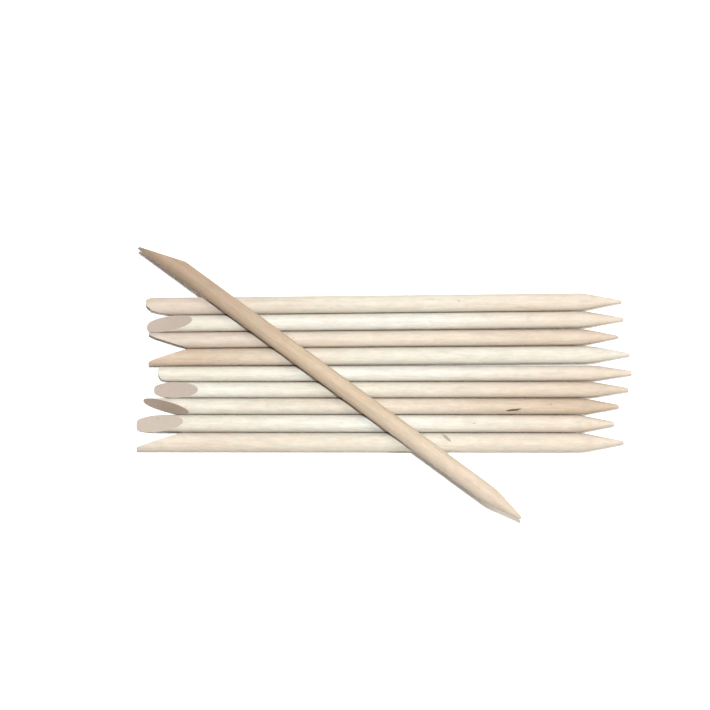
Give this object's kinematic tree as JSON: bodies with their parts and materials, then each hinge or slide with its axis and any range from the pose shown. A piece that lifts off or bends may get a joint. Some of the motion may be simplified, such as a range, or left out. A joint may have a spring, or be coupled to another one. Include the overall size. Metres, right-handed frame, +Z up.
{
  "type": "cuticle stick set",
  "caption": "Loose set of wooden cuticle pushers in a close row with one laid across: slim round dowels, each with a slanted flat pusher at one end and a blunt turned point at the other.",
  "frame": {"origin": "on the table, under the middle of the whole set", "axes": "+X along the row from the bevels to the points, +Y across the row towards stick 1, +Z up from the table"},
  "size_m": [0.1191, 0.065, 0.009],
  "materials": {
    "pale_birch": "bare, finely sanded, matte; very pale with faint pink and yellow streaks",
    "tan_birch": "bare, finely sanded, matte; a darker, browner piece of the same wood"
  },
  "bodies": {
    "row_stick_5": {"row_stick_5": "pale_birch"},
    "row_stick_1": {"row_stick_1": "pale_birch"},
    "row_stick_2": {"row_stick_2": "pale_birch"},
    "row_stick_3": {"row_stick_3": "pale_birch"},
    "row_stick_4": {"row_stick_4": "pale_birch"},
    "row_stick_6": {"row_stick_6": "pale_birch"},
    "row_stick_7": {"row_stick_7": "pale_birch"},
    "row_stick_8": {"row_stick_8": "pale_birch"},
    "row_stick_9": {"row_stick_9": "pale_birch"},
    "crossing_stick": {"crossing_stick": "tan_birch"}
  },
  "joints": [
    {"name": "row_stick_1_slide", "type": "slide", "parent": "row_stick_5", "child": "row_stick_1", "axis": [-0.9999, -0.0108, 0], "range_m": [0, 0.12]},
    {"name": "row_stick_2_slide", "type": "slide", "parent": "row_stick_5", "child": "row_stick_2", "axis": [0.9999, 0.0101, 0], "range_m": [0, 0.12]},
    {"name": "row_stick_3_slide", "type": "slide", "parent": "row_stick_5", "child": "row_stick_3", "axis": [-1, -0.008, 0], "range_m": [0, 0.12]},
    {"name": "row_stick_4_slide", "type": "slide", "parent": "row_stick_5", "child": "row_stick_4", "axis": [1, 0.0063, 0], "range_m": [0, 0.12]},
    {"name": "row_stick_6_slide", "type": "slide", "parent": "row_stick_5", "child": "row_stick_6", "axis": [1, 0.0007, 0], "range_m": [0, 0.12]},
    {"name": "row_stick_7_slide", "type": "slide", "parent": "row_stick_5", "child": "row_stick_7", "axis": [-1, 0.0003, 0], "range_m": [0, 0.12]},
    {"name": "row_stick_8_slide", "type": "slide", "parent": "row_stick_5", "child": "row_stick_8", "axis": [1, -0.0009, 0], "range_m": [0, 0.12]},
    {"name": "row_stick_9_slide", "type": "slide", "parent": "row_stick_5", "child": "row_stick_9", "axis": [-1, 0.0014, 0], "range_m": [0, 0.12]},
    {"name": "crossing_stick_lift", "type": "slide", "parent": "row_stick_5", "child": "crossing_stick", "axis": [0, 0, 1], "range_m": [0, 0.04]}
  ]
}
